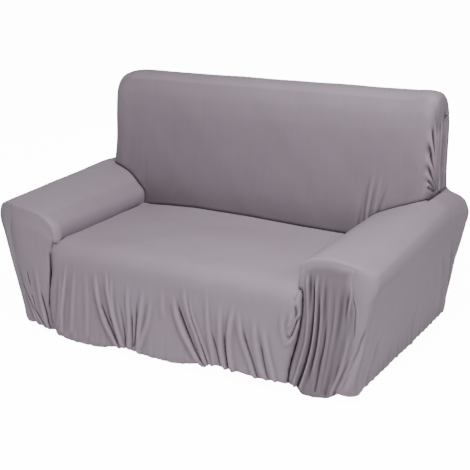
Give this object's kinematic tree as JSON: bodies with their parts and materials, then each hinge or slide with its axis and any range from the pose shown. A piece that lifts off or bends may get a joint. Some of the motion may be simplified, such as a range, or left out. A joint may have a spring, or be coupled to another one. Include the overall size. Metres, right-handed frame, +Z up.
{
  "type": "stretch sofa slipcover",
  "caption": "Fitted stretch slipcover in the shape of a sofa: high back, seat with a gathered front apron, rounded arms with gathered fronts, open and hollow underneath.",
  "frame": {"origin": "the point under the middle of the back's top where the covered sofa carries the cloth, about 0.9 m above the floor", "axes": "-Y towards the front of the seat, +X towards the cover's right as seen from the front, +Z up"},
  "size_m": [1.587, 0.9708, 0.9106],
  "materials": {
    "back_panel": "matte fine jersey knit",
    "seat_panel": "matte fine jersey knit",
    "arm_panel_left": "matte fine jersey knit",
    "arm_panel_right": "matte fine jersey knit",
    "arm_front_left": "matte fine jersey knit",
    "arm_front_right": "matte fine jersey knit"
  },
  "bodies": {
    "root": {"back_panel": "back_panel", "seat_panel": "seat_panel", "arm_panel_left": "arm_panel_left", "arm_panel_right": "arm_panel_right", "arm_front_left": "arm_front_left", "arm_front_right": "arm_front_right"}
  },
  "joints": []
}
